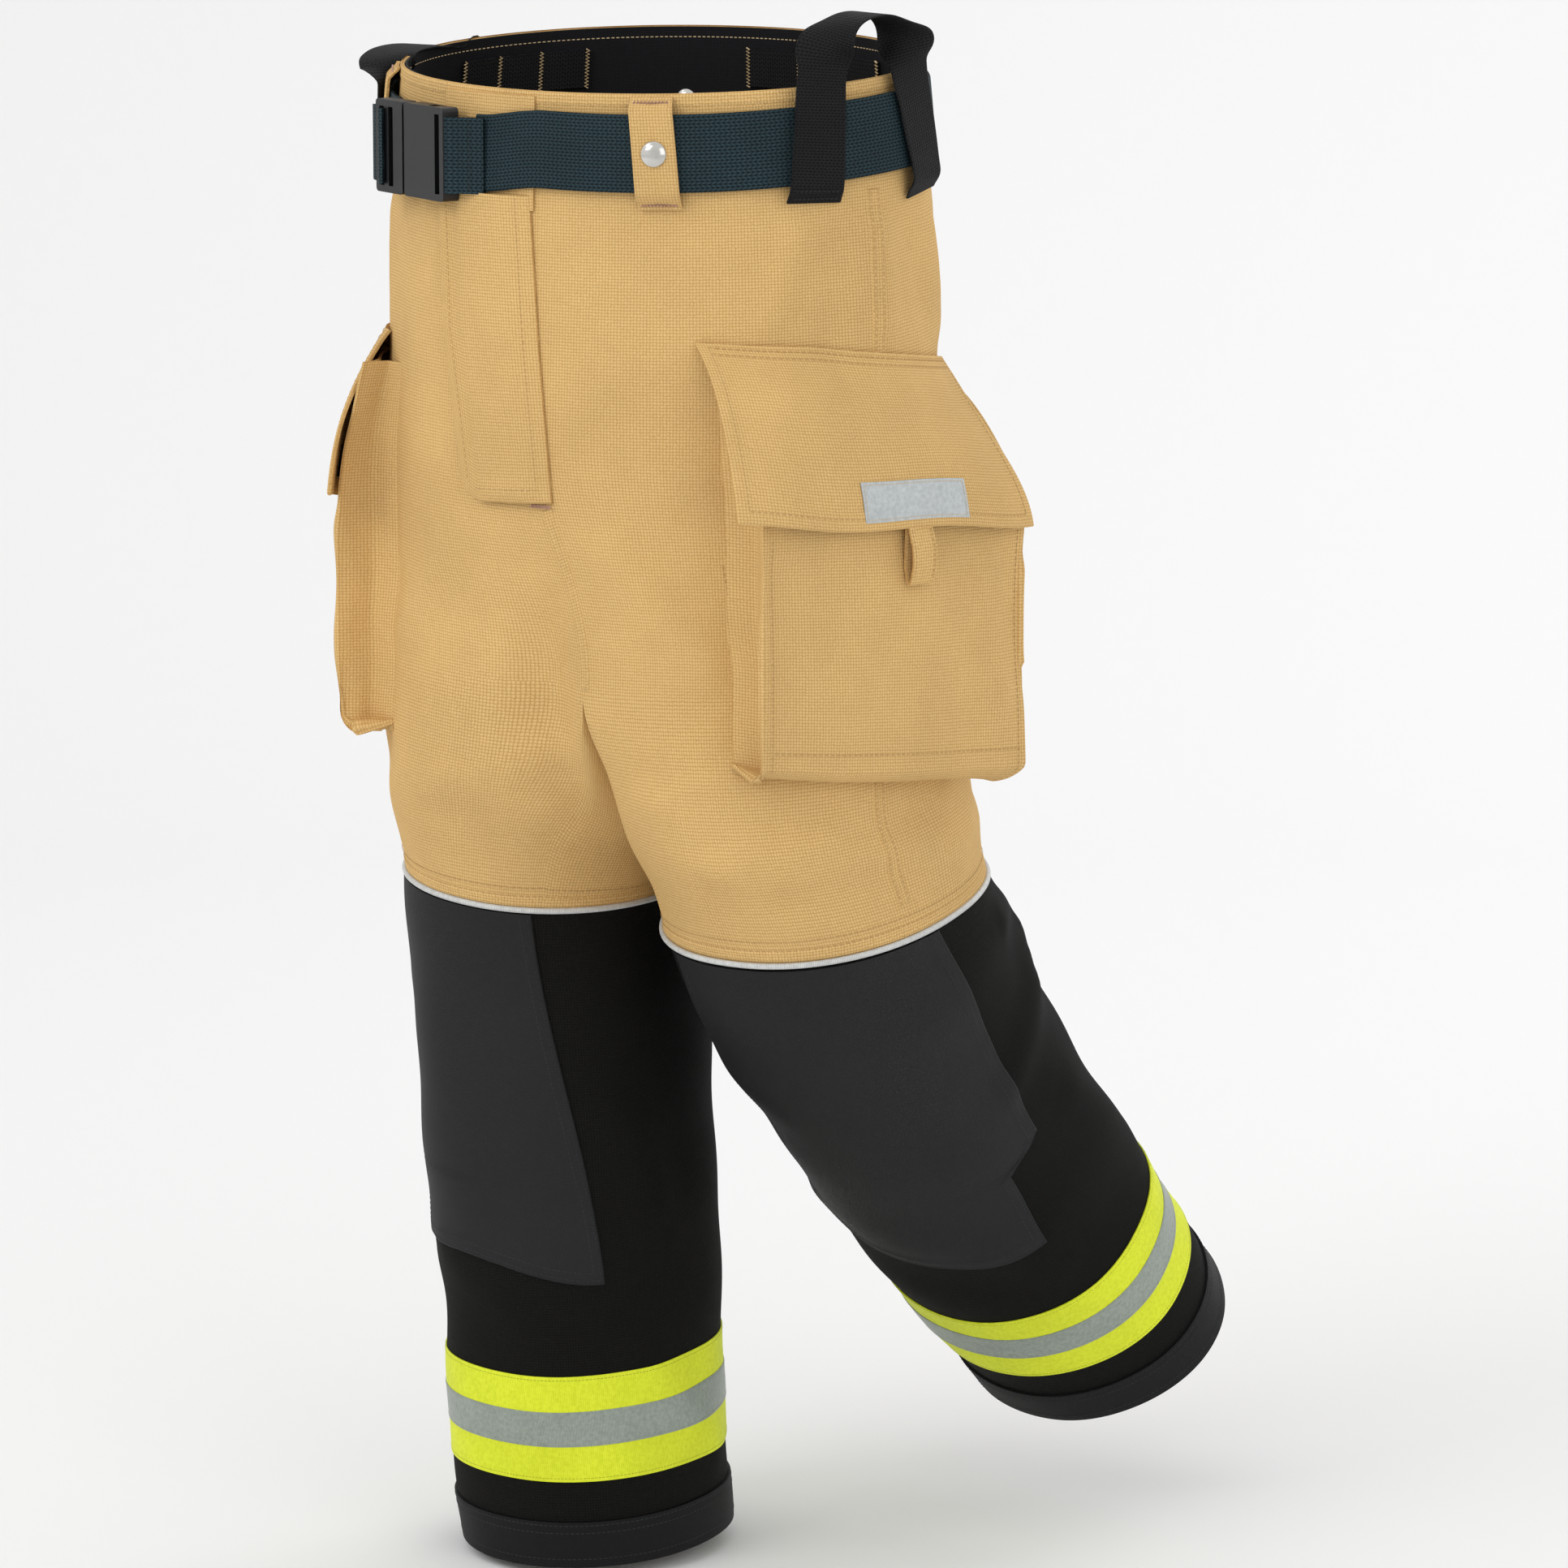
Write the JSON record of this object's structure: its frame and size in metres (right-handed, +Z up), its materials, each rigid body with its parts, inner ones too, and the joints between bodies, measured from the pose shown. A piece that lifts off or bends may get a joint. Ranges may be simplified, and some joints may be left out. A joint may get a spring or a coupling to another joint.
{
  "type": "turnout trousers",
  "caption": "Firefighter turnout trousers with canvas hips, bellows pockets, a webbing belt and black lower legs with knee patches and reflective trim, left knee bent.",
  "frame": {"origin": "centre of the waist opening, level with the top of the side seams", "axes": "+Z up out of the waist, the wearer faces -Y, the wearer's left is +X"},
  "size_m": [0.5254, 0.5757, 1.0852],
  "materials": {
    "canvas_tan": "woven aramid canvas, tan",
    "leg_black": "woven aramid, black",
    "knee_charcoal": "coated aramid, charcoal",
    "belt_teal": "coarse webbing, dark teal",
    "webbing_black": "ribbed webbing, black",
    "facing_black": "black facing cloth",
    "liner_quilt": "quilted thermal liner",
    "trim_lime": "fluorescent lime tape",
    "trim_silver": "silver reflective tape",
    "piping_grey": "light grey piping",
    "buckle_plastic": "moulded black plastic",
    "snap_chrome": "domed nickel snap",
    "tape_black": "hook and loop and zipper tape",
    "zipper_metal": "zipper teeth, slider and pull",
    "label_silver": "plain silver patch"
  },
  "bodies": {
    "root": {"belt_webbing": "belt_teal", "buckle_female": "buckle_plastic", "crotch_gusset": "canvas_tan", "donning_legs_left": "webbing_black", "donning_legs_right": "webbing_black", "facing_snaps": "snap_chrome", "fly_loop_tape": "tape_black", "fly_placket": "canvas_tan", "piping_left": "piping_grey", "piping_right": "piping_grey", "pocket_left": "canvas_tan", "pocket_right": "canvas_tan", "rear_belt_loops": "canvas_tan", "shell_back_left": "canvas_tan", "shell_back_right": "canvas_tan", "shell_front_left": "canvas_tan", "shell_front_right": "canvas_tan", "suspender_webbing": "webbing_black", "thermal_liner": "liner_quilt", "thigh_left": "canvas_tan", "thigh_right": "canvas_tan", "waist_facing": "facing_black", "zipper_tape": "tape_black", "zipper_teeth": "zipper_metal"},
    "left_shin": {"knee_section_left": "leg_black", "shin_left": "leg_black", "knee_patch_left": "knee_charcoal", "shin_liner_left": "liner_quilt", "trim_lime_left": "trim_lime", "trim_silver_left": "trim_silver", "cuff_left": "leg_black"},
    "right_shin": {"knee_section_right": "leg_black", "shin_right": "leg_black", "knee_patch_right": "knee_charcoal", "shin_liner_right": "liner_quilt", "trim_lime_right": "trim_lime", "trim_silver_right": "trim_silver", "cuff_right": "leg_black"},
    "left_pocket_flap": {"pocket_flap_left": "canvas_tan", "flap_hook_tape_left": "tape_black", "label_patch": "label_silver"},
    "right_pocket_flap": {"pocket_flap_right": "canvas_tan", "flap_hook_tape_right": "tape_black"},
    "left_pull_tab": {"pull_tab_left": "canvas_tan"},
    "right_pull_tab": {"pull_tab_right": "canvas_tan"},
    "fly_flap": {"fly_flap": "canvas_tan", "fly_hook_tape": "tape_black"},
    "zipper_slider": {"zipper_slider": "zipper_metal", "zipper_pull": "zipper_metal"},
    "buckle_male": {"buckle_male": "buckle_plastic", "belt_tail": "belt_teal"},
    "prong_upper": {"buckle_prong_upper": "buckle_plastic"},
    "prong_lower": {"buckle_prong_lower": "buckle_plastic"},
    "left_snap_loop": {"snap_loop_left": "canvas_tan", "snap_cap_left": "snap_chrome"},
    "right_snap_loop": {"snap_loop_right": "canvas_tan", "snap_cap_right": "snap_chrome"},
    "left_donning_arch": {"donning_arch_left": "webbing_black"},
    "right_donning_arch": {"donning_arch_right": "webbing_black"}
  },
  "joints": [
    {"name": "left_knee", "type": "hinge", "parent": "root", "child": "left_shin", "pos_m": [0.119, 0.078, -0.632], "axis": [1, 0, 0], "range_deg": [-30, 55], "deforming": ["knee_section_left", "knee_patch_left"]},
    {"name": "right_knee", "type": "hinge", "parent": "root", "child": "right_shin", "pos_m": [-0.093, 0.017, -0.655], "axis": [1, 0, 0], "range_deg": [-3, 80], "deforming": ["knee_section_right", "knee_patch_right"]},
    {"name": "left_flap_lift", "type": "hinge", "parent": "root", "child": "left_pocket_flap", "pos_m": [0.19857, -0.03457, -0.178], "axis": [-0.2924, -0.9563, 0], "range_deg": [0, 120]},
    {"name": "right_flap_lift", "type": "hinge", "parent": "root", "child": "right_pocket_flap", "pos_m": [-0.19857, -0.03457, -0.178], "axis": [-0.2924, 0.9563, 0], "range_deg": [0, 120]},
    {"name": "left_pull_tab_lift", "type": "hinge", "parent": "left_pocket_flap", "child": "left_pull_tab", "pos_m": [0.22541, -0.04277, -0.29415], "axis": [-0.2924, -0.9563, 0], "range_deg": [0, 90]},
    {"name": "right_pull_tab_lift", "type": "hinge", "parent": "right_pocket_flap", "child": "right_pull_tab", "pos_m": [-0.22541, -0.04277, -0.29415], "axis": [-0.2924, 0.9563, 0], "range_deg": [0, 90]},
    {"name": "fly_flap_open", "type": "hinge", "parent": "root", "child": "fly_flap", "pos_m": [-0.0015, -0.1523, -0.184], "axis": [0, 0.035, 0.9994], "range_deg": [0, 150]},
    {"name": "zipper_travel", "type": "slide", "parent": "root", "child": "zipper_slider", "axis": [-0.0078, -0.0342, -0.9994], "range_m": [0, 0.14]},
    {"name": "buckle_release", "type": "slide", "parent": "root", "child": "buckle_male", "axis": [-0.9082, 0.4185, 0], "range_m": [0, 0.03]},
    {"name": "prong_upper_flex", "type": "hinge", "parent": "buckle_male", "child": "prong_upper", "pos_m": [-0.11528, -0.12612, -0.0344], "axis": [0.4185, 0.9082, 0], "range_deg": [0, 24]},
    {"name": "prong_lower_flex", "type": "hinge", "parent": "buckle_male", "child": "prong_lower", "pos_m": [-0.11528, -0.12612, -0.0684], "axis": [-0.4185, -0.9082, 0], "range_deg": [0, 24]},
    {"name": "left_snap_loop_open", "type": "hinge", "parent": "root", "child": "left_snap_loop", "pos_m": [0.08131, -0.12949, -0.08232], "axis": [0.9457, 0.3251, 0], "range_deg": [0, 90]},
    {"name": "right_snap_loop_open", "type": "hinge", "parent": "root", "child": "right_snap_loop", "pos_m": [-0.17155, -0.06499, -0.07717], "axis": [0.5687, -0.8226, 0], "range_deg": [0, 90]},
    {"name": "left_donning_fold", "type": "hinge", "parent": "root", "child": "left_donning_arch", "pos_m": [0.18912, -0.02803, 0.019], "axis": [0.2516, 0.9678, 0], "range_deg": [-40, 55]},
    {"name": "right_donning_fold", "type": "hinge", "parent": "root", "child": "right_donning_arch", "pos_m": [-0.18433, 0.02463, 0.0125], "axis": [-0.2337, -0.9723, 0], "range_deg": [-30, 50]}
  ],
  "couplings": [
    {"joint": "prong_upper_flex", "follows": "buckle_release", "rad_per_m": 13},
    {"joint": "prong_lower_flex", "follows": "buckle_release", "rad_per_m": 13}
  ]
}
